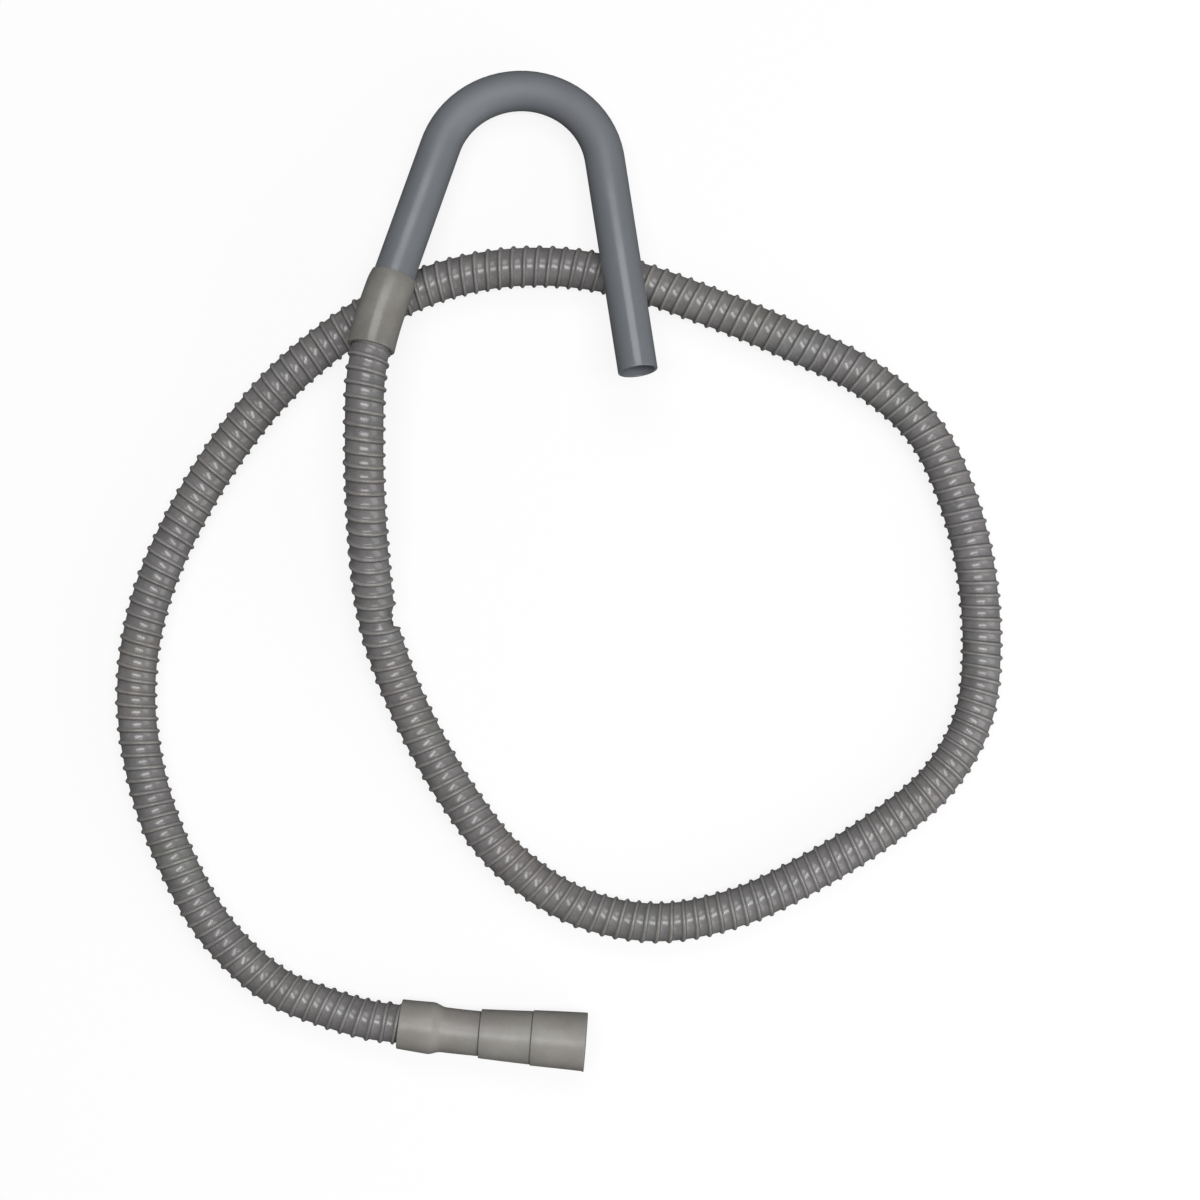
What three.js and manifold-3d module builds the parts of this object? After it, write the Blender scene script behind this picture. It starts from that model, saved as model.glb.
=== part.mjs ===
// Drain hose of a washing machine, lying loosely looped: a ribbed hose, the rigid crook that
// hangs over the edge of a sink or standpipe, the collar that joins crook and hose, and the
// stepped cuff that pushes onto the machine's outlet.
// Millimetres, +Z up from the surface that it lies on. The crook's bend points to +Y.
import * as THREE from "three";
import { mergeVertices } from "three/addons/utils/BufferGeometryUtils.js";
import Module from "manifold-3d";

const wasm = await Module();
wasm.setup();

const { degToRad } = THREE.MathUtils;

// Fits
const clearance = 0.3; // between pieces that go into or against each other
const crossingRoom = 1.0; // between the hose and the crook's leg that lies over it
const edge = 0.5; // bevel on the moulded rims

// Hose
const hoseDiameter = 22.6; // over the ribs
const ribHeight = 1.3; // the ribs are trimmed off where the collar grips
const hoseWall = 1.2; // between the ribs
const hoseSides = 12;
const hoseSteps = 72;
const trimRoom = 2; // by which the trimming ring is wider and starts earlier than the hose

// Crook, a thin tube that narrows a little from the collar to its open mouth
const mouthDiameter = 20.8;
const tailDiameter = 21.8;
const crookWall = 1.7;
const bendRadius = 44.7; // of the centreline
const mouthLeg = 118; // straight length from the bend to the open mouth
const tailLeg = 93; // straight length from the bend to the end inside the collar
const mouthSplay = degToRad(8.4); // each leg leans away from the middle
const tailSplay = degToRad(18.2);
const crookSides = 32;
const bendStations = 22;
const slightBendStations = 4; // in the collar and in the cuff's neck
const hookPlace = [9.0, 211.2]; // centre of the bend
const crossing = 105; // from the top of the bend down to where the mouth leg crosses the hose

// Collar
const collarWall = 1.45;
const collarLength = 41;
const crookGrip = 17; // how far the crook goes in
const stopWidth = 3; // rib inside, between crook and hose
const collarBend = degToRad(6.5); // the soft sleeve gives a little towards the hose
const collarSides = 40;

// Cuff, from the hose to the open mouth
const socketWall = 1.5; // at the lip
const socketFlare = 0.8; // by which the socket's radius grows from the lip to the shoulder
const socketLength = 18;
const shoulderLength = 4.8;
const shoulderStations = 6;
const neckDiameter = 23.8;
const neckLength = 20.1;
const smallStepDiameters = [26.0, 28.0];
const smallStepLength = 27.5;
const largeStepDiameters = [29.0, 30.9];
const largeStepLength = 28.7;
const cuffWall = 2.0;
const cuffBend = degToRad(3.1); // set that the neck has taken
const cuffSides = 48;
const cuffPlace = [-55.4, -239.5]; // middle of the lip
const cuffHeading = degToRad(-7.5);

// Route of the free hose between collar and cuff, as it lies: x, y and the height of its
// underside above the surface.
const hoseStretchIn = 16; // straight into the cuff
const routePoints = [
  [-71.2, 99, 33.6],
  [-72, 69, 32.6],
  [-71.8, 39, 27],
  [-67.5, -20, 8.4],
  [-59.5, -50, 2],
  [-45, -83.5, 0.2],
  [-24.5, -119, 0],
  [3, -153.5, 0],
  [39, -177.5, 0],
  [80, -186, 0],
  [122, -178.5, 0],
  [163.5, -159, 0],
  [203, -134, 0],
  [230, -110.5, 0],
  [248, -79, 0],
  [253, -38, 0],
  [246, 19.5, 0],
  [224.5, 72, 0],
  [193, 101.5, 0],
  [155, 121, 0],
  [107, 141, 0],
  [58, 157, 0],
  [12, 161.5, 0],
  [-31, 154.5, 0],
  [-71, 136.5, 0],
  [-118.5, 99.5, 0],
  [-158.5, 47, 0],
  [-186.5, -12, 0],
  [-195, -60, 0],
  [-190.5, -105, 0],
  [-176, -148.5, 0],
  [-152, -191, 0],
  [-120.5, -220, 0],
  [-94, -231, 0.7],
];

// A flat centreline of straight runs and arcs, each given as [length, turn to the left].
// Its frames have X along the line and Z out of its plane.
class Centreline {
  constructor(start, runs) {
    this.start = start;
    this.runs = runs;
  }
  frame(distance) {
    const place = this.start.clone();
    let rest = distance;
    this.runs.forEach(([length, turn], index) => {
      const open = index === this.runs.length - 1;
      const part = open ? rest : Math.min(rest, length);
      place.multiply(arcStep(part, (turn * part) / length));
      rest -= part;
    });
    return place;
  }
  point(distance) {
    return new THREE.Vector3().setFromMatrixPosition(this.frame(distance));
  }
}

function arcStep(length, turn) {
  const step = new THREE.Matrix4().makeRotationZ(turn);
  if (Math.abs(turn) < 1e-9) return step.setPosition(length, 0, 0);
  const radius = length / turn;
  return step.setPosition(radius * Math.sin(turn), radius * (1 - Math.cos(turn)), 0);
}

// A hollow round piece: a closed profile of [station, radius] is turned about the axis, and
// its stations are then laid along a centreline.
function turnedAlong(line, profile, sides) {
  const outline = [...profile, profile[0]].map(([station, radius]) => new THREE.Vector2(radius, station));
  const geometry = new THREE.LatheGeometry(outline, sides);
  const position = geometry.getAttribute("position");
  const vertex = new THREE.Vector3();
  for (let i = 0; i < position.count; i++) {
    vertex.fromBufferAttribute(position, i);
    const frame = line.frame(vertex.y);
    vertex.set(0, -vertex.x, vertex.z).applyMatrix4(frame);
    position.setXYZ(i, vertex.x, vertex.y, vertex.z);
  }
  geometry.computeVertexNormals();
  return geometry;
}

function solid(geometry) {
  const bare = geometry.clone();
  bare.deleteAttribute("normal");
  bare.deleteAttribute("uv");
  const merged = mergeVertices(bare.index ? bare.toNonIndexed() : bare, 1e-4);
  return new wasm.Manifold(
    new wasm.Mesh({
      numProp: 3,
      vertProperties: new Float32Array(merged.getAttribute("position").array),
      triVerts: new Uint32Array(merged.index.array),
    }),
  );
}

function geometryOf(manifold) {
  const { vertProperties, triVerts } = manifold.getMesh();
  const geometry = new THREE.BufferGeometry();
  geometry.setAttribute("position", new THREE.BufferAttribute(vertProperties, 3));
  geometry.setIndex(new THREE.BufferAttribute(triVerts, 1));
  geometry.computeVertexNormals();
  return geometry;
}

function named(name, geometry, color, roughness) {
  const material = new THREE.MeshStandardMaterial({ color, roughness, metalness: 0 });
  const mesh = new THREE.Mesh(geometry, material);
  mesh.name = name;
  return mesh;
}

// Stations that divide a run evenly, its two ends included.
function divide(from, to, count) {
  return Array.from({ length: count + 1 }, (_, i) => THREE.MathUtils.lerp(from, to, i / count));
}

// The bores and sockets follow the hose that goes through them or into them
const hoseBand = hoseDiameter - 2 * ribHeight;
const hoseBore = hoseBand - 2 * hoseWall;

// Placing the hook: it leans on the hose with both legs and touches the surface with its bend
const sweep = Math.PI - mouthSplay - tailSplay;
const bendLength = bendRadius * sweep;
const crookLength = mouthLeg + bendLength + tailLeg;
const crookRadius = (station) =>
  THREE.MathUtils.lerp(mouthDiameter, tailDiameter, station / crookLength) / 2;
const crownRadius = crookRadius(mouthLeg + bendRadius * (Math.PI / 2 - mouthSplay));
const tilt = Math.asin((hoseDiameter + crossingRoom) / crossing);

const hook = new THREE.Group();
hook.position.set(...hookPlace, crownRadius + bendRadius * Math.sin(tilt));
hook.rotation.x = -tilt;
hook.updateMatrixWorld();

const mouthStart = new THREE.Matrix4().makeRotationZ(Math.PI / 2 + mouthSplay);
mouthStart.setPosition(
  bendRadius * Math.cos(mouthSplay) + mouthLeg * Math.sin(mouthSplay),
  bendRadius * Math.sin(mouthSplay) - mouthLeg * Math.cos(mouthSplay),
  0,
);
const hookLine = new Centreline(mouthStart, [
  [mouthLeg, 0],
  [bendLength, sweep],
  [tailLeg, 0],
  [collarLength - crookGrip, collarBend],
]);

// Crook
function crookGeometry() {
  const stations = divide(mouthLeg, mouthLeg + bendLength, bendStations);
  const outside = (s) => [s, crookRadius(s)];
  const inside = (s) => [s, crookRadius(s) - crookWall];
  return turnedAlong(
    hookLine,
    [
      [0, crookRadius(0) - edge],
      outside(edge),
      ...stations.map(outside),
      outside(crookLength - edge),
      [crookLength, crookRadius(crookLength) - edge],
      inside(crookLength),
      ...stations.map(inside).reverse(),
      inside(0),
    ],
    crookSides,
  );
}

// Collar: a sleeve over the end of the crook and the trimmed end of the hose. It bends a
// little from the crook's end onwards.
const collarStart = crookLength - crookGrip;
const collarEnd = collarStart + collarLength;
const stopStart = crookLength + clearance;
const stopEnd = stopStart + stopWidth;

function collarGeometry() {
  const crookSocket = tailDiameter / 2 + clearance;
  const hoseSocket = hoseBand / 2 + clearance;
  const outer = crookSocket + collarWall;
  const hoseSide = divide(stopEnd, collarEnd, slightBendStations).slice(1, -1);
  return turnedAlong(
    hookLine,
    [
      [collarStart, outer - edge],
      [collarStart + edge, outer],
      ...hoseSide.map((s) => [s, outer]),
      [collarEnd - edge, outer],
      [collarEnd, outer - edge],
      [collarEnd, hoseSocket],
      ...hoseSide.map((s) => [s, hoseSocket]).reverse(),
      [stopEnd, hoseSocket],
      [stopEnd, hoseBore / 2],
      [stopStart, hoseBore / 2],
      [stopStart, crookSocket],
      [collarStart, crookSocket],
    ],
    collarSides,
  );
}

// Cuff: it lies on its wide mouth and on the ring where its socket is widest
const shoulderStart = socketLength;
const neckStart = shoulderStart + shoulderLength;
const smallStepStart = neckStart + neckLength;
const largeStepStart = smallStepStart + smallStepLength;
const cuffLength = largeStepStart + largeStepLength;
const lipRadius = hoseDiameter / 2 + clearance + socketWall;
const socketRadius = lipRadius + socketFlare;
const cuffMouthRadius = largeStepDiameters[1] / 2;
const cuffPitch = Math.asin((cuffMouthRadius - socketRadius) / (cuffLength - socketLength));

const cuffGroup = new THREE.Group();
cuffGroup.position.set(...cuffPlace, socketRadius - socketLength * Math.sin(cuffPitch));
cuffGroup.rotation.set(0, -cuffPitch, cuffHeading, "ZYX");
cuffGroup.updateMatrixWorld();

const cuffLine = new Centreline(new THREE.Matrix4(), [
  [neckStart, 0],
  [neckLength, cuffBend],
  [smallStepLength + largeStepLength, 0],
]);

// Outside of the shoulder, which eases from the socket's radius to the neck's.
function shoulder(neckRadius) {
  return divide(shoulderStart, neckStart, shoulderStations).map((s) => {
    const ease = (1 - Math.cos((Math.PI * (s - shoulderStart)) / shoulderLength)) / 2;
    return [s, THREE.MathUtils.lerp(socketRadius, neckRadius, ease)];
  });
}

function cuffGeometry() {
  const neckRadius = neckDiameter / 2;
  const neckBore = neckRadius - cuffWall;
  const hoseSocket = hoseDiameter / 2 + clearance;
  const [smallIn, smallOut] = smallStepDiameters.map((d) => d / 2);
  const [largeIn, largeOut] = largeStepDiameters.map((d) => d / 2);
  const neckStations = divide(neckStart, smallStepStart, slightBendStations).slice(1, -1);
  return turnedAlong(
    cuffLine,
    [
      [0, lipRadius - edge],
      [edge, lipRadius],
      ...shoulder(neckRadius),
      ...neckStations.map((s) => [s, neckRadius]),
      [smallStepStart, neckRadius],
      [smallStepStart, smallIn - edge],
      [smallStepStart + edge, smallIn],
      [largeStepStart, smallOut],
      [largeStepStart, largeIn - edge],
      [largeStepStart + edge, largeIn],
      [cuffLength - edge, largeOut],
      [cuffLength, largeOut - edge],
      [cuffLength, largeOut - cuffWall],
      [largeStepStart + cuffWall, largeIn - cuffWall],
      [largeStepStart + cuffWall, smallOut - cuffWall],
      [smallStepStart + cuffWall, smallIn - cuffWall],
      [smallStepStart + cuffWall, neckBore],
      ...neckStations.map((s) => [s, neckBore]).reverse(),
      [socketLength, neckBore],
      [socketLength, hoseSocket],
      [0, hoseSocket],
    ],
    cuffSides,
  );
}

// Hose: one tube along its route, with the ribs trimmed off the end that the collar takes in
const hoseStart = stopEnd + clearance;

function hoseRoute() {
  const out = divide(hoseStart, collarEnd, 2);
  const into = [-hoseStretchIn, 0, socketLength - clearance];
  return new THREE.CatmullRomCurve3([
    ...out.map((s) => hookLine.point(s).applyMatrix4(hook.matrixWorld)),
    ...routePoints.map(([x, y, rise]) => new THREE.Vector3(x, y, rise + hoseDiameter / 2)),
    ...into.map((s) => cuffLine.point(s).applyMatrix4(cuffGroup.matrixWorld)),
  ]);
}

function ringShape(outerRadius, innerRadius) {
  const corners = (radius) =>
    Array.from({ length: hoseSides }, (_, i) => {
      const angle = (2 * Math.PI * i) / hoseSides;
      return new THREE.Vector2(radius * Math.cos(angle), radius * Math.sin(angle));
    });
  const shape = new THREE.Shape(corners(outerRadius));
  shape.holes.push(new THREE.Path(corners(innerRadius).reverse()));
  return shape;
}

function hoseGeometry() {
  const tube = new THREE.ExtrudeGeometry(ringShape(hoseDiameter / 2, hoseBore / 2), {
    steps: hoseSteps,
    bevelEnabled: false,
    extrudePath: hoseRoute(),
  });
  const stations = divide(hoseStart - trimRoom, collarEnd + clearance, slightBendStations);
  const trimmed = [
    ...stations.map((s) => [s, hoseDiameter / 2 + trimRoom]),
    ...stations.map((s) => [s, hoseBand / 2]).reverse(),
  ];
  const trim = turnedAlong(hookLine, trimmed, collarSides).applyMatrix4(hook.matrixWorld);
  return geometryOf(solid(tube).subtract(solid(trim)));
}

const crook = named("crook", crookGeometry(), 0x7f8388, 0.45);
const collar = named("collar", collarGeometry(), 0x96938c, 0.5);
const cuff = named("machine_cuff", cuffGeometry(), 0xa09d96, 0.55);
const hose = named("hose", hoseGeometry(), 0x77777a, 0.4);

hook.add(crook, collar);
cuffGroup.add(cuff);

const drainHose = new THREE.Group();
drainHose.add(hook, cuffGroup, hose);

export default drainHose;
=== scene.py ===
import math

import bmesh
import bpy
import numpy as np
from mathutils import Matrix, Vector


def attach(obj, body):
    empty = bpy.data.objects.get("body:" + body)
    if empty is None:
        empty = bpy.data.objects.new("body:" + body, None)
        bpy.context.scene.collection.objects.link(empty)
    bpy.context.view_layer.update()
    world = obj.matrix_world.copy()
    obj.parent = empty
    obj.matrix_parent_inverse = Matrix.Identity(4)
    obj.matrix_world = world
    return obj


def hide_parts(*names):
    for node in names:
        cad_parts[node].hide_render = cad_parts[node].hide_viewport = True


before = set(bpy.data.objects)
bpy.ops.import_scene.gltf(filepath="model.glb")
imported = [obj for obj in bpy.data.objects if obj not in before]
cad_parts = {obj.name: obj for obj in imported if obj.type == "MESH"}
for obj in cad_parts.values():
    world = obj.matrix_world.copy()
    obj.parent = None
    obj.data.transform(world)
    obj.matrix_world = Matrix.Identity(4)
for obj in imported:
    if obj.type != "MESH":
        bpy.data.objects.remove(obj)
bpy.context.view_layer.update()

# Sizes in millimetres, as in the part's source
CLEARANCE = 0.3
CROSSING_ROOM = 1.0
HOSE_DIAMETER = 22.6
RIB_HEIGHT = 1.3
HOSE_WALL = 1.2
MOUTH_DIAMETER, TAIL_DIAMETER, CROOK_WALL = 20.8, 21.8, 1.7
BEND_RADIUS, MOUTH_LEG, TAIL_LEG = 44.7, 118.0, 93.0
MOUTH_SPLAY, TAIL_SPLAY = math.radians(8.4), math.radians(18.2)
HOOK_PLACE = (9.0, 211.2)
CROSSING = 105.0
COLLAR_WALL, COLLAR_LENGTH, CROOK_GRIP = 1.45, 41.0, 17.0
STOP_WIDTH = 3.0
COLLAR_BEND = math.radians(6.5)
SOCKET_WALL, SOCKET_FLARE, SOCKET_LENGTH, SHOULDER_LENGTH = 1.5, 0.8, 18.0, 4.8
NECK_DIAMETER, NECK_LENGTH = 23.8, 20.1
SMALL_STEP, SMALL_STEP_LENGTH = (26.0, 28.0), 27.5
LARGE_STEP, LARGE_STEP_LENGTH = (29.0, 30.9), 28.7
CUFF_WALL = 2.0
CUFF_BEND = math.radians(3.1)
CUFF_PLACE = (-55.4, -239.5)
CUFF_HEADING = math.radians(-7.5)
HOSE_STRETCH_IN = 16.0
ROUTE = [
    (-71.2, 99, 33.6), (-72, 69, 32.6), (-71.8, 39, 27), (-67.5, -20, 8.4), (-59.5, -50, 2),
    (-45, -83.5, 0.2), (-24.5, -119, 0), (3, -153.5, 0), (39, -177.5, 0), (80, -186, 0),
    (122, -178.5, 0), (163.5, -159, 0), (203, -134, 0), (230, -110.5, 0), (248, -79, 0),
    (253, -38, 0), (246, 19.5, 0), (224.5, 72, 0), (193, 101.5, 0), (155, 121, 0), (107, 141, 0),
    (58, 157, 0), (12, 161.5, 0), (-31, 154.5, 0), (-71, 136.5, 0), (-118.5, 99.5, 0),
    (-158.5, 47, 0), (-186.5, -12, 0), (-195, -60, 0), (-190.5, -105, 0), (-176, -148.5, 0),
    (-152, -191, 0), (-120.5, -220, 0), (-94, -231, 0.7),
]

# Camera: straight above, as the ribs show no bulge to any side
SCALE = 0.53  # millimetres a pixel at the height of the hose's middle
CAMERA_HEIGHT = 1800.0
CAMERA_PLACE = (50.73, -15.13)
SENSOR = 36.0
IMAGE_WIDTH = 1200
NEAREST_SEEN = 0.05  # metres

scene = bpy.context.scene
scene.view_settings.view_transform = "Standard"
camera = bpy.data.objects.new("camera", bpy.data.cameras.new("camera"))
scene.collection.objects.link(camera)
camera.location = (CAMERA_PLACE[0] / 1000, CAMERA_PLACE[1] / 1000, CAMERA_HEIGHT / 1000)
camera.data.sensor_width = SENSOR
camera.data.lens = SENSOR * (CAMERA_HEIGHT - HOSE_DIAMETER / 2) / (SCALE * IMAGE_WIDTH)
camera.data.clip_start = NEAREST_SEEN
scene.camera = camera


# Frames along the moulded pieces: X along the line, Z out of its plane
STRAIGHT = 1e-9  # an angle below this is no bend


def turn(axis, angle):
    return np.array(Matrix.Rotation(angle, 4, axis))


def moved(matrix, place):
    out = matrix.copy()
    out[:3, 3] = place
    return out


def arc_step(length, angle):
    if abs(angle) < STRAIGHT:
        return moved(np.eye(4), (length, 0, 0))
    radius = length / angle
    place = (radius * math.sin(angle), radius * (1 - math.cos(angle)), 0)
    return moved(turn("Z", angle), place)


def centreline(start, runs):
    """Gives the frame at a distance along runs of (length, angle turned)."""
    def at(distance):
        place, rest = start, distance
        for index, (length, angle) in enumerate(runs):
            part = rest if index == len(runs) - 1 else min(rest, length)
            place = place @ arc_step(part, angle * part / length)
            rest -= part
        return place
    return at


SWEEP = math.pi - MOUTH_SPLAY - TAIL_SPLAY
BEND_LENGTH = BEND_RADIUS * SWEEP
CROOK_LENGTH = MOUTH_LEG + BEND_LENGTH + TAIL_LEG


def crook_radius(station):
    return (MOUTH_DIAMETER + (TAIL_DIAMETER - MOUTH_DIAMETER) * station / CROOK_LENGTH) / 2


tilt = math.asin((HOSE_DIAMETER + CROSSING_ROOM) / CROSSING)
crown = crook_radius(MOUTH_LEG + BEND_RADIUS * (math.pi / 2 - MOUTH_SPLAY))
hook = moved(turn("X", -tilt), (*HOOK_PLACE, crown + BEND_RADIUS * math.sin(tilt)))
mouth_start = moved(turn("Z", math.pi / 2 + MOUTH_SPLAY), (
    BEND_RADIUS * math.cos(MOUTH_SPLAY) + MOUTH_LEG * math.sin(MOUTH_SPLAY),
    BEND_RADIUS * math.sin(MOUTH_SPLAY) - MOUTH_LEG * math.cos(MOUTH_SPLAY),
    0,
))
hook_line = centreline(hook @ mouth_start, [
    (MOUTH_LEG, 0), (BEND_LENGTH, SWEEP), (TAIL_LEG, 0), (COLLAR_LENGTH - CROOK_GRIP, COLLAR_BEND),
])

collar_start = CROOK_LENGTH - CROOK_GRIP
collar_end = collar_start + COLLAR_LENGTH
stop_start = CROOK_LENGTH + CLEARANCE
stop_end = stop_start + STOP_WIDTH
hose_start = stop_end + CLEARANCE

hose_radius = HOSE_DIAMETER / 2
band_radius = hose_radius - RIB_HEIGHT
bore_radius = band_radius - HOSE_WALL

neck_start = SOCKET_LENGTH + SHOULDER_LENGTH
small_start = neck_start + NECK_LENGTH
large_start = small_start + SMALL_STEP_LENGTH
cuff_length = large_start + LARGE_STEP_LENGTH
lip_radius = hose_radius + CLEARANCE + SOCKET_WALL
socket_radius = lip_radius + SOCKET_FLARE
cuff_pitch = math.asin((LARGE_STEP[1] / 2 - socket_radius) / (cuff_length - SOCKET_LENGTH))
cuff_place = moved(
    turn("Z", CUFF_HEADING) @ turn("Y", -cuff_pitch),
    (*CUFF_PLACE, socket_radius - SOCKET_LENGTH * math.sin(cuff_pitch)),
)
cuff_line = centreline(cuff_place, [
    (neck_start, 0), (NECK_LENGTH, CUFF_BEND), (SMALL_STEP_LENGTH + LARGE_STEP_LENGTH, 0),
])


# Route of the hose: a centripetal Catmull-Rom curve through its points
STEPS_PER_SPAN = 40
GRID_POINTS = 3201
PATH_POINTS = 241


def smooth_curve(points, per_span):
    p = [2 * points[0] - points[1], *points, 2 * points[-1] - points[-2]]
    t = np.linspace(0, 1, per_span, endpoint=False)[:, None]
    out = []
    for p0, p1, p2, p3 in zip(p, p[1:], p[2:], p[3:]):
        d0, d1, d2 = (np.linalg.norm(b - a) ** 0.5 for a, b in ((p0, p1), (p1, p2), (p2, p3)))
        m1 = ((p1 - p0) / d0 - (p2 - p0) / (d0 + d1) + (p2 - p1) / d1) * d1
        m2 = ((p2 - p1) / d1 - (p3 - p1) / (d1 + d2) + (p3 - p2) / d2) * d1
        out.append((2 * t**3 - 3 * t**2 + 1) * p1 + (t**3 - 2 * t**2 + t) * m1
                   + (3 * t**2 - 2 * t**3) * p2 + (t**3 - t**2) * m2)
    return np.vstack([*out, points[-1][None]])


route = [hook_line(s)[:3, 3] for s in np.linspace(hose_start, collar_end, 3)]
route += [np.array((x, y, rise + hose_radius)) for x, y, rise in ROUTE]
route += [cuff_line(s)[:3, 3] for s in (-HOSE_STRETCH_IN, 0, SOCKET_LENGTH - CLEARANCE)]
fine = smooth_curve(route, STEPS_PER_SPAN)
fine_length = np.concatenate([[0], np.cumsum(np.linalg.norm(np.diff(fine, axis=0), axis=1))])
hose_length = fine_length[-1]


def along_hose(stations):
    """Points, tangents and two side directions at distances along the hose."""
    grid = np.linspace(0, hose_length, GRID_POINTS)
    points = np.column_stack([np.interp(grid, fine_length, fine[:, i]) for i in range(3)])
    tangents = np.gradient(points, axis=0)
    tangents /= np.linalg.norm(tangents, axis=1)[:, None]
    sides = np.empty_like(points)
    side = np.array((0.0, 0.0, 1.0))
    for i, tangent in enumerate(tangents):
        side = side - tangent * side.dot(tangent)
        side /= np.linalg.norm(side)
        sides[i] = side
    def sample(values):
        return np.column_stack([np.interp(stations, grid, values[:, i]) for i in range(3)])
    c, t, n = sample(points), sample(tangents), sample(sides)
    t /= np.linalg.norm(t, axis=1)[:, None]
    n -= t * (t * n).sum(1)[:, None]
    n /= np.linalg.norm(n, axis=1)[:, None]
    return c, t, n, np.cross(t, n)


def new_object(name, points, faces):
    mesh = bpy.data.meshes.new(name)
    mesh.from_pydata((np.asarray(points) / 1000).tolist(), [], faces)
    obj = bpy.data.objects.new(name, mesh)
    scene.collection.objects.link(obj)
    return obj


def smooth(obj, angle):
    obj.data.shade_smooth()
    obj.data.set_sharp_from_angle(angle=math.radians(angle))


# Hose: its rib is one left-handed helix. The mesh follows it, so that the rib has clean edges.
RIB_PITCHES = (  # station from which it holds, and pitch
    (0, 6.88), (300, 6.63), (550, 6.37), (700, 6.55), (1100, 6.66),
)
RIB_START = 6.2  # the first crest, inside the collar
RIB_SPARE = 0.05  # turns that stay free at the far end
RIB_RISE = 1.5  # length over which the ribs grow out of the collar
RIB_END, RIB_FALL = 8.0, 3.0  # how far before the hose's end the ribs stop, and over what length
RIB_STRAYS = (  # size, reach along the hose, waves round it, phase
    (0.16, 9.1, 1, 0), (0.12, 23.0, -2, 1),
)
PLAIN_END = 1.0  # length at each end where the mesh stays regular
HOSE_SIDES = 36
BORE_RINGS = 91
# FLANK faces, just past each crest on one side, get a darker copy of the hose plastic: a painted
# shadow line at the rib's foot.
BAND, CREST, FLANK = 0, 1, 2
RIB_PROFILE = [  # share of a pitch, share of the rib's height, surface
    (0.000, 1.00, CREST), (0.075, 0.90, CREST), (0.140, 0.55, FLANK), (0.200, 0.14, FLANK),
    (0.260, 0.00, BAND), (0.500, 0.03, BAND), (0.740, 0.00, BAND), (0.800, 0.14, BAND),
    (0.860, 0.55, CREST), (0.925, 0.90, CREST),
]
KINK_ANGLE = math.radians(86)
KINK_SLANT = 4.0  # millimetres a radian, so that the fold runs up across the hose
DENT = (165.5, 4.2, 4.0, 0.74)  # station, depth, length, and width in radians
CREASE = (170.8, 2.6, 1.7, 1.3)
KINK_REACH, KINK_RINGS = 15.0, 21  # more rings in the bore, to each side of the dent


def kink(stations, angles):
    """How far the wall is pressed in where the hose has once been folded."""
    around = (angles - KINK_ANGLE + math.pi) % (2 * math.pi) - math.pi
    along = stations - KINK_SLANT * around
    return sum(depth * np.exp(-((along - place) / length)**2 - (around / width)**2)
               for place, depth, length, width in (DENT, CREASE))


def rib_stations(turns):
    """Stations at which the helix has made so many turns, and how many whole turns it makes."""
    marks = [start for start, _ in RIB_PITCHES] + [hose_length]
    counts = np.concatenate([[0], np.cumsum(np.diff(marks) / [pitch for _, pitch in RIB_PITCHES])])
    before = np.interp(RIB_START, marks, counts)
    return np.interp(before + turns, counts, marks), int(counts[-1] - before - RIB_SPARE) - 1


def uneven(stations, angles):
    """The soft extrusion isn't quite regular: how far a rib strays along the hose."""
    return sum(size * np.sin(stations / reach + waves * angles + phase)
               for size, reach, waves, phase in RIB_STRAYS)


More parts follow.
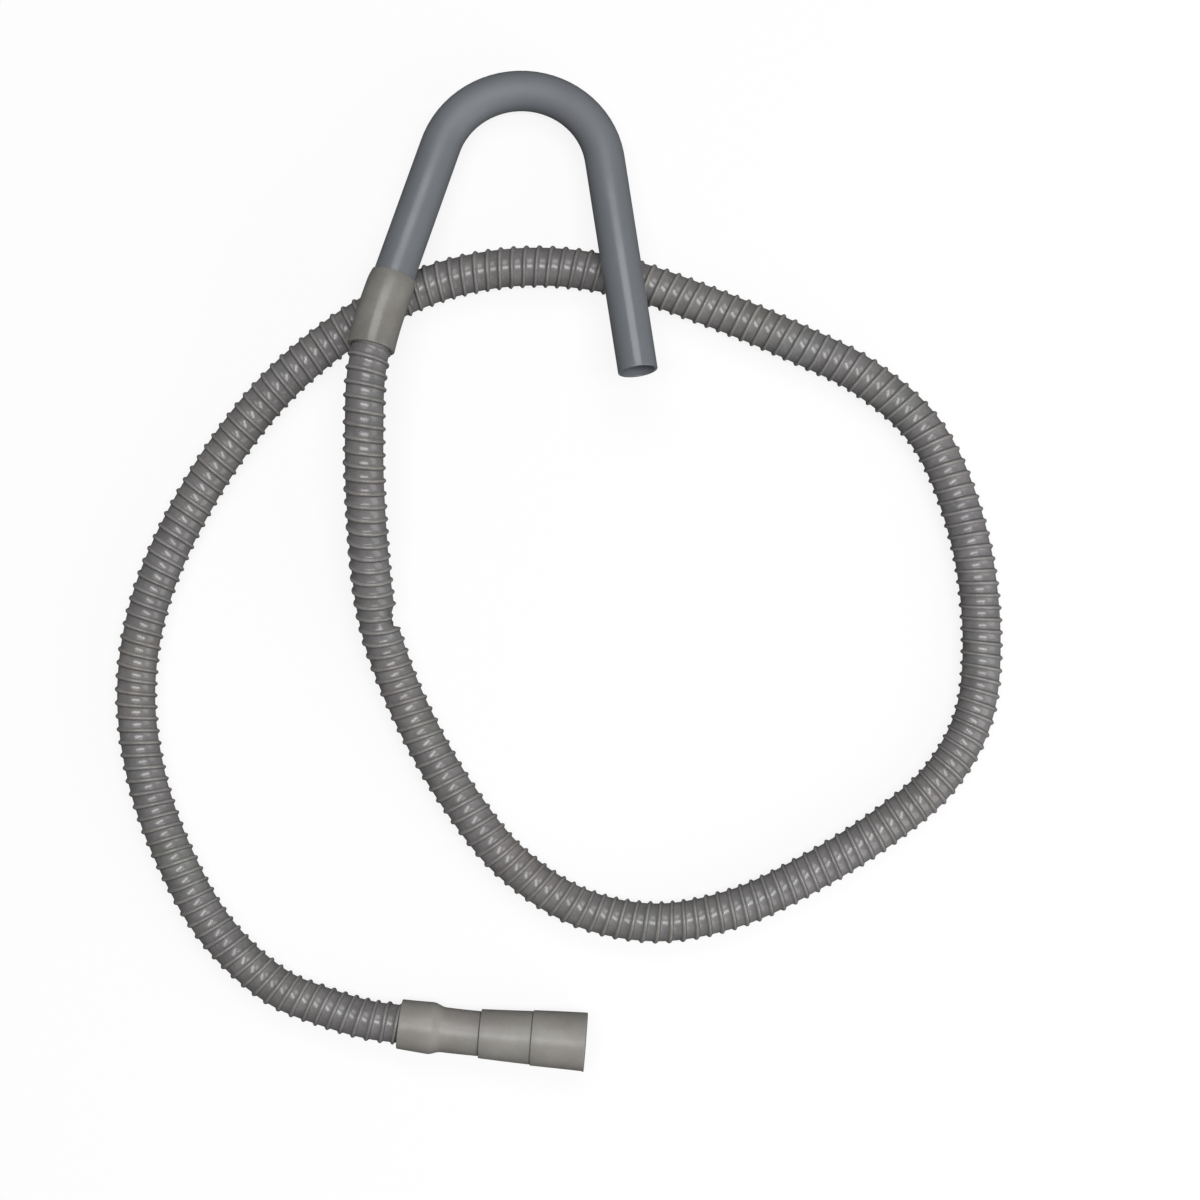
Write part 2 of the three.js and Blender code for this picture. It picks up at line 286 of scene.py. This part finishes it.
def hose_mesh():
    """Points, faces and surfaces. The helix's rows end in a plain ring at both ends."""
    n, per = HOSE_SIDES, len(RIB_PROFILE)
    share, height = (np.array([row[i] for row in RIB_PROFILE]) for i in (0, 1))
    kinds = [row[2] for row in RIB_PROFILE]
    turns = rib_stations(0)[1]
    top = turns * per
    index = np.arange(top + 1)
    angle = 2 * math.pi * np.arange(n) / n
    s = rib_stations((index // per + share[index % per])[:, None] + angle / (2 * math.pi))[0]
    a = np.broadcast_to(angle, s.shape)
    inside = (s > PLAIN_END) & (s < hose_length - PLAIN_END)
    s = s + uneven(s, a) * inside
    ribbed = np.clip((s - (collar_end + CLEARANCE - hose_start)) / RIB_RISE, 0, 1)
    ribbed = ribbed * np.clip((hose_length - RIB_END - s) / RIB_FALL, 0, 1)
    radius = band_radius + RIB_HEIGHT * height[index % per][:, None] * ribbed - kink(s, a)

    def tube(stations, radii, angles):
        c, t, up, side = along_hose(stations.ravel())
        a, r = angles.ravel()[:, None], radii.ravel()[:, None]
        return c + r * (np.cos(a) * up - np.sin(a) * side)

    def ring(station, size):
        return tube(np.full(n, station), size + np.zeros(n), angle)

    def at(row, side):
        return (row + per) * n if side == n else row * n + side

    blocks = [tube(s, radius, a)]
    faces, slots = [], []
    for row in range(top):
        first, second = kinds[row % per], kinds[(row + 1) % per]
        kind = CREST if first == second == CREST else BAND if BAND in (first, second) else FLANK
        for side in range(n if row < top - per else n - 1):
            faces.append((
                at(row, side), at(row, side + 1), at(row + 1, side + 1), at(row + 1, side)))
            slots.append(kind)
    outer = [len(blocks[0]), len(blocks[0]) + n]
    blocks += [ring(0, band_radius), ring(hose_length, band_radius)]
    more = DENT[0] + np.linspace(-KINK_REACH, KINK_REACH, KINK_RINGS)
    bore = np.sort(np.append(np.linspace(0, hose_length, BORE_RINGS), more))
    blocks += [ring(station, bore_radius - kink(station, angle)) for station in bore]
    inner = [outer[1] + n * (i + 1) for i in range(len(bore))]
    start, end = outer
    plain = [(start + i, start + i + 1, at(0, i + 1), at(0, i)) for i in range(n - 1)]
    plain.append((start + n - 1, start, *(at(row, 0) for row in range(per + 1)), at(0, n - 1)))
    plain += [(at(top, i), at(top, i + 1), end + i + 1, end + i) for i in range(n - 1)]
    left = [at(row, n - 1) for row in range(top, top - per, -1)]
    plain.append((at(top - per, n - 1), at(top, 0), end, end + n - 1, *left))
    for i in range(n):
        j = (i + 1) % n
        plain.append((start + j, start + i, inner[0] + i, inner[0] + j))
        plain.append((end + i, end + j, inner[-1] + j, inner[-1] + i))
        plain += [(b + i, b + j, a + j, a + i) for a, b in zip(inner, inner[1:])]
    return np.vstack(blocks), faces + plain, slots + [BAND] * len(plain)


def clean_normals(obj):
    work = bmesh.new()
    work.from_mesh(obj.data)
    bmesh.ops.recalc_face_normals(work, faces=work.faces)
    work.to_mesh(obj.data)
    work.free()


hose_points, hose_faces, hose_slots = hose_mesh()
hose = new_object("ribbed_hose", hose_points, hose_faces)
clean_normals(hose)
smooth(hose, 60)
hose.data.polygons.foreach_set("material_index", hose_slots)
hose_path = along_hose(np.linspace(0, hose_length, PATH_POINTS))[0] / 1000


# Moulded pieces: a closed outline of (station, radius, fillet) turned about a centreline
UV_LENGTH = 100.0  # millimetres along the line for one unit of the map
FILLET_SHARE = 0.45  # the most of a side that one fillet takes


def filleted(corners, steps=4):
    points = []
    for i, (x, r, fillet) in enumerate(corners):
        here = np.array((x, r))
        if not fillet:
            points.append(here)
            continue
        sides = []
        for other in (corners[i - 1], corners[(i + 1) % len(corners)]):
            way = np.array(other[:2]) - here
            length = np.linalg.norm(way)
            sides.append(here + way / length * min(fillet, length * FILLET_SHARE))
        for k in range(steps + 1):
            t = k / steps
            points.append((1 - t)**2 * sides[0] + 2 * t * (1 - t) * here + t * t * sides[1])
    return points


def split_long(points, longest):
    """The closed outline with its long runs cut up, so that it can bend and wear evenly."""
    out = []
    for here, after in zip(points, [*points[1:], points[0]]):
        out.append(here)
        count = math.ceil(abs(after[0] - here[0]) / longest)
        out += [here + (after - here) * k / count for k in range(1, count)]
    return out


def turned(name, line, corners, sides, longest, surface=None, radial=None):
    """An object, with its own surfaces and unevenness where functions for them are given."""
    outline = split_long(filleted(corners), longest)
    angle = 2 * math.pi * np.arange(sides) / sides
    points = []
    for x, r in outline:
        size = np.full(sides, float(r))
        if radial:
            size = size + radial(x, r, angle)
        frame_here = line(x)
        ring = np.column_stack([np.zeros(sides), size * np.sin(angle), size * np.cos(angle)])
        points.append(ring @ frame_here[:3, :3].T + frame_here[:3, 3])
    count = len(outline)
    faces, slots, layout = [], [], []
    for i in range(count):
        j = (i + 1) % count
        kind = surface(outline[i], outline[j]) if surface else 0
        for side in range(sides):
            after = (side + 1) % sides
            faces.append((
                i * sides + side, i * sides + after, j * sides + after, j * sides + side))
            slots.append(kind)
            u0, u1 = side / sides, (side + 1) / sides
            v0, v1 = outline[i][0] / UV_LENGTH, outline[j][0] / UV_LENGTH
            layout += [(u0, v0), (u1, v0), (u1, v1), (u0, v1)]
    obj = new_object(name, np.vstack(points), faces)
    uv = obj.data.uv_layers.new(name="turned")
    uv.data.foreach_set("uv", np.array(layout, dtype=np.float32).ravel())
    obj.data.polygons.foreach_set("material_index", slots)
    clean_normals(obj)
    smooth(obj, 35)
    return obj


mouth_radius = crook_radius(0)
tail_radius = crook_radius(CROOK_LENGTH)
crook = turned("bent_tube", hook_line, [
    (0, mouth_radius, 0.55),
    (CROOK_LENGTH, tail_radius, 0.5),
    (CROOK_LENGTH, tail_radius - CROOK_WALL, 0.4),
    (0, mouth_radius - CROOK_WALL, 0.45),
], 72, 4.0)

crook_socket = TAIL_DIAMETER / 2 + CLEARANCE
hose_socket = band_radius + CLEARANCE
collar_radius = crook_socket + COLLAR_WALL
sleeve = turned("sleeve", hook_line, [
    (collar_start, crook_socket + 0.55, 0.4),
    (collar_start + 4.5, collar_radius - 0.1, 2.5),
    (collar_end, collar_radius, 0.6),
    (collar_end, hose_socket, 0.4),
    (stop_end, hose_socket, 0),
    (stop_end, bore_radius, 0.3),
    (stop_start, bore_radius, 0.3),
    (stop_start, crook_socket, 0),
    (collar_start, crook_socket, 0.3),
], 72, 3.0)

GROOVE = 0.25  # shallow line at the foot of each step
# The darker cuff surface lies in a band this far before each step and this wide: painted shade at
# the foot of the step.
GROOVE_MIDDLE, GROOVE_HALF = 0.2, 0.35  # its distance before the step, and half its width
OUTSIDE_ROOM = 0.6  # a surface deeper than this under the neck's is inside
CUFF_BOWS = (  # size, waves round the cuff, reach along it
    (0.10, 2, 17), (0.05, 3, -9),
)
BOW_RISE = 6  # length over which the cuff's unevenness grows from its lip
NIB_ANGLE = math.radians(262)
NIB_HEIGHT, NIB_LENGTH, NIB_WIDTH, NIB_DEPTH = 0.9, 1.6, 0.07, 1.2  # the width in radians
neck_radius = NECK_DIAMETER / 2
cuff_socket = hose_radius + CLEARANCE
small_in, small_out = (d / 2 for d in SMALL_STEP)
large_in, large_out = (d / 2 for d in LARGE_STEP)


# Slot 1, a darker copy of the cuff plastic, is painted shade in the groove at the foot of each
# step.
def cuff_surface(here, after):
    middle = (here[0] + after[0]) / 2
    outside = min(here[1], after[1]) > neck_radius - OUTSIDE_ROOM
    away = min(abs(middle - start + GROOVE_MIDDLE) for start in (small_start, large_start))
    return 1 if outside and away < GROOVE_HALF else 0


def cuff_wear(x, r, angle):
    """The soft cuff is a little out of round, and its mouth has a small nib of flash."""
    bow = sum(size * np.sin(waves * angle + x / reach) for size, waves, reach in CUFF_BOWS)
    far = ((x - cuff_length) / NIB_LENGTH)**2 + ((angle - NIB_ANGLE) / NIB_WIDTH)**2
    nib = NIB_HEIGHT * np.exp(-far)
    return bow * min(1, x / BOW_RISE) + (nib if r > large_out - NIB_DEPTH else 0)


cuff = turned("push_on_cuff", cuff_line, [
    (0, lip_radius, 0.5),
    (SOCKET_LENGTH - 0.5, socket_radius, 1.3),
    (neck_start - 0.3, neck_radius + 0.1, 1.6),
    (small_start - 0.7, neck_radius, 0.2),
    (small_start - 0.15, neck_radius - GROOVE, 0.12),
    (small_start, small_in, 0.45),
    (large_start - 0.6, small_out, 0.2),
    (large_start - 0.15, small_out - GROOVE, 0.12),
    (large_start, large_in, 0.5),
    (cuff_length, large_out, 0.6),
    (cuff_length, large_out - CUFF_WALL, 0.5),
    (large_start + CUFF_WALL, large_in - CUFF_WALL, 0.3),
    (large_start + CUFF_WALL, small_out - CUFF_WALL, 0.3),
    (small_start + CUFF_WALL, small_in - CUFF_WALL, 0.3),
    (small_start + CUFF_WALL, neck_radius - CUFF_WALL, 0.3),
    (SOCKET_LENGTH, neck_radius - CUFF_WALL, 0.3),
    (SOCKET_LENGTH, cuff_socket, 0),
    (0, cuff_socket, 0.3),
], 96, 2.5, cuff_surface, cuff_wear)


# Materials
def node(tree, kind, **values):
    """A new node. A value named in_2 goes to the input with the index 2."""
    made = tree.nodes.new(kind)
    for key, value in values.items():
        if key.startswith("in_"):
            made.inputs[int(key[3:])].default_value = value
        else:
            setattr(made, key, value)
    return made


PLASTIC_IOR = 1.5
TINT_SCALE = 23.0
FINE_SHARE = 0.35  # of the fine grain in the colour
TONE_REACH, GLOSS_SPAN = 0.20, 0.25  # of the noise to each side of its middle
DULLER, SHINIER = 0.06, 0.05
BUMP_DEPTH = 0.0002  # metres
GLOSS_REACH = 400.0  # millimetres of a centreline that the gloss marks can cover


def duller_along(tree, place, rough, marks):
    """Adds roughness that changes along a turned piece, given at stations of its line."""
    parts = node(tree, "ShaderNodeSeparateXYZ")
    tree.links.new(place.outputs["UV"], parts.inputs[0])
    share = node(tree, "ShaderNodeMath", operation="MULTIPLY", in_1=UV_LENGTH / GLOSS_REACH)
    tree.links.new(parts.outputs["Y"], share.inputs[0])
    ramp = node(tree, "ShaderNodeValToRGB")
    ends = ramp.color_ramp.elements
    for end, (station, more) in zip(ends, (marks[0], marks[-1])):
        end.position, end.color = station / GLOSS_REACH, (more, more, more, 1)
    for station, more in marks[1:-1]:
        ramp.color_ramp.elements.new(station / GLOSS_REACH).color = (more, more, more, 1)
    tree.links.new(share.outputs[0], ramp.inputs["Fac"])
    total = node(tree, "ShaderNodeMath", operation="ADD")
    tree.links.new(ramp.outputs["Color"], total.inputs[0])
    tree.links.new(rough, total.inputs[1])
    return total.outputs[0]


def plastic(name, colour, contrast, tint, roughness, mottle, grain, bump, gloss_marks=()):
    """Moulded plastic: cloudy colour in slightly changing tints, a fine grain and uneven gloss."""
    material = bpy.data.materials.new(name)
    material.use_nodes = True
    tree = material.node_tree
    shader = tree.nodes["Principled BSDF"]
    shader.inputs["IOR"].default_value = PLASTIC_IOR
    place = node(tree, "ShaderNodeTexCoord")
    cloud = node(tree, "ShaderNodeTexNoise", in_2=mottle, in_3=4.0, in_4=0.6)
    fine = node(tree, "ShaderNodeTexNoise", in_2=grain, in_3=3.0, in_4=0.55)
    tints = node(tree, "ShaderNodeTexNoise", in_2=TINT_SCALE, in_3=2.0, in_4=0.5)
    for noise in (cloud, fine, tints):
        tree.links.new(place.outputs["Object"], noise.inputs["Vector"])
    tone = node(tree, "ShaderNodeMath", operation="MULTIPLY_ADD", in_1=FINE_SHARE)
    tree.links.new(fine.outputs["Fac"], tone.inputs[0])
    tree.links.new(cloud.outputs["Fac"], tone.inputs[2])
    ramp = node(tree, "ShaderNodeValToRGB")
    middle = 0.5 + FINE_SHARE * 0.5
    marks = ramp.color_ramp.elements
    marks[0].position, marks[1].position = middle - TONE_REACH, middle + TONE_REACH
    marks[0].color = (*(c * (1 - contrast) for c in colour), 1)
    marks[1].color = (*(c * (1 + contrast) for c in colour), 1)
    tree.links.new(tone.outputs[0], ramp.inputs["Fac"])
    cast = node(tree, "ShaderNodeVectorMath", operation="MULTIPLY_ADD")
    cast.inputs[1].default_value = (tint,) * 3
    cast.inputs[2].default_value = (1 - tint / 2,) * 3
    tree.links.new(tints.outputs["Color"], cast.inputs[0])
    tinted = node(tree, "ShaderNodeVectorMath", operation="MULTIPLY")
    tree.links.new(ramp.outputs["Color"], tinted.inputs[0])
    tree.links.new(cast.outputs[0], tinted.inputs[1])
    tree.links.new(tinted.outputs[0], shader.inputs["Base Color"])
    gloss = node(tree, "ShaderNodeMapRange")
    gloss.inputs["From Min"].default_value = middle - GLOSS_SPAN
    gloss.inputs["From Max"].default_value = middle + GLOSS_SPAN
    gloss.inputs["To Min"].default_value = roughness + DULLER
    gloss.inputs["To Max"].default_value = roughness - SHINIER
    tree.links.new(tone.outputs[0], gloss.inputs["Value"])
    rough = gloss.outputs["Result"]
    if gloss_marks:
        rough = duller_along(tree, place, rough, gloss_marks)
    tree.links.new(rough, shader.inputs["Roughness"])
    relief = node(tree, "ShaderNodeBump")
    relief.inputs["Strength"].default_value = bump
    relief.inputs["Distance"].default_value = BUMP_DEPTH
    tree.links.new(fine.outputs["Fac"], relief.inputs["Height"])
    tree.links.new(relief.outputs["Normal"], shader.inputs["Normal"])
    return material


BEND_START, BEND_END = MOUTH_LEG, MOUTH_LEG + BEND_LENGTH
CROOK_MARKS = (
    (30, 0), (BEND_START - 25, 0.12), (BEND_START + 15, 0.42),
    (BEND_END - 25, 0.42), (BEND_END + 25, 0.10),
)
SLEEVE_MARKS = ((collar_start, 0.20), (collar_start + 15, 0.12), (collar_end - 12, 0))
LOOKS = (  # the piece, and what plastic() takes
    (hose, "hose_band", (0.181, 0.174, 0.175), 0.20, 0.10, 0.23, 80, 700, 0.07),
    # Lighter, warmer copy of the hose plastic on the crests: part the rib's own warmer tint, part
    # painted light where light falls on the crest.
    (hose, "hose_rib", (0.228, 0.219, 0.209), 0.20, 0.10, 0.30, 110, 900, 0.20),
    # Darker copy of the hose plastic on each rib's flank: painted shade, the shadow line beside the
    # rib.
    (hose, "hose_rib_foot", (0.132, 0.127, 0.126), 0.2, 0.12, 0.36, 110, 900, 0.2),
    (crook, "crook_plastic", (0.162, 0.173, 0.188), 0.06, 0.04, 0.20, 26, 900, 0.05, CROOK_MARKS),
    (sleeve, "sleeve_plastic", (0.212, 0.203, 0.186), 0.18, 0.06, 0.19, 50, 1300, 0.12,
     SLEEVE_MARKS),
    (cuff, "cuff_plastic", (0.254, 0.243, 0.226), 0.13, 0.04, 0.43, 55, 1200, 0.18),
    # Darker copy of the cuff plastic in the groove at each step's foot: painted shade.
    (cuff, "cuff_groove", (0.150, 0.142, 0.128), 0.15, 0.04, 0.6, 80, 1200, 0.2),
)
for piece, *look in LOOKS:
    piece.data.materials.append(plastic(*look))

for piece, node_name, slot_name in (
    (hose, "hose", "hose_plastic"),
    (crook, "crook", "crook_plastic"),
    (sleeve, "collar", "collar_plastic"),
    (cuff, "machine_cuff", "cuff_plastic"),
):
    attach(piece, "root")
    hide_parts(node_name)

(hook_line(collar_end)[:3, 3] / 1000).tolist()


# Floor, lamps and world
FLOOR_BOUNCE = 0.14  # share of the light that the floor throws back at the object
FLOOR_COLOUR = 0.9  # as the camera sees it
FLOOR_WHITE = 0.84  # share of plain white in what the camera sees; the rest keeps the shadow
FLOOR_REACH, FLOOR_LEVEL = 4.0, -0.00006
WORLD_LIGHT = 0.07
LAMP_AIM = (0.03, 0.0, 0.0)


def camera_white(tree, plain, share):
    """Shows the camera a share of plain white, and everything else the plain shader."""
    path = tree.nodes.new("ShaderNodeLightPath")
    surface = plain.bl_idname.startswith("ShaderNodeBsdf")
    white = node(tree, "ShaderNodeEmission" if surface else "ShaderNodeBackground")
    white.inputs["Color"].default_value = (1, 1, 1, 1)
    white.inputs["Strength"].default_value = 1.0
    amount = node(tree, "ShaderNodeMath", operation="MULTIPLY", in_1=share)
    mix = node(tree, "ShaderNodeMixShader")
    tree.links.new(path.outputs["Is Camera Ray"], amount.inputs[0])
    tree.links.new(amount.outputs[0], mix.inputs[0])
    tree.links.new(plain.outputs[0], mix.inputs[1])
    tree.links.new(white.outputs[0], mix.inputs[2])
    return mix


floor_mesh = bpy.data.meshes.new("floor")
floor_corners = [
    (x * FLOOR_REACH, y * FLOOR_REACH, FLOOR_LEVEL) for x, y in ((-1, -1), (1, -1), (1, 1), (-1, 1))
]
floor_mesh.from_pydata(floor_corners, [], [(0, 1, 2, 3)])
floor = bpy.data.objects.new("floor", floor_mesh)
scene.collection.objects.link(floor)
floor_material = bpy.data.materials.new("floor_pale")
floor_material.use_nodes = True
tree = floor_material.node_tree
tree.nodes.remove(tree.nodes["Principled BSDF"])
matte = node(tree, "ShaderNodeBsdfDiffuse")
seen = tree.nodes.new("ShaderNodeLightPath")
pale = node(tree, "ShaderNodeMapRange")
pale.inputs["To Min"].default_value = FLOOR_BOUNCE
pale.inputs["To Max"].default_value = FLOOR_COLOUR
tree.links.new(seen.outputs["Is Camera Ray"], pale.inputs["Value"])
tree.links.new(pale.outputs["Result"], matte.inputs["Color"])
seen_floor = camera_white(tree, matte, FLOOR_WHITE)
tree.links.new(seen_floor.outputs[0], tree.nodes["Material Output"].inputs["Surface"])
floor_mesh.materials.append(floor_material)

world = bpy.data.worlds.new("studio")
scene.world = world
world.use_nodes = True
tree = world.node_tree
air = tree.nodes["Background"]
air.inputs["Color"].default_value = (1, 1, 1, 1)
air.inputs["Strength"].default_value = WORLD_LIGHT
seen_air = camera_white(tree, air, 1.0)
tree.links.new(seen_air.outputs[0], tree.nodes["World Output"].inputs["Surface"])


def lamp(name, place, size_x, size_y, power, aim=LAMP_AIM):
    data = bpy.data.lights.new(name, "AREA")
    data.shape = "RECTANGLE"
    data.size, data.size_y, data.energy = size_x, size_y, power
    obj = bpy.data.objects.new(name, data)
    scene.collection.objects.link(obj)
    obj.location = place
    obj.rotation_euler = (Vector(aim) - Vector(place)).to_track_quat("-Z", "Y").to_euler()


lamp("overhead", (0.45, -0.05, 6.0), 5.2, 1.6, 252.0, (0.45, 0.0, 0.0))  # its length along X
lamp("back", (0.40, 3.4, 5.5), 4.2, 2.4, 118.0)
lamp("right", (0.95, -0.53, 0.55), 1.3, 0.8, 6.5)
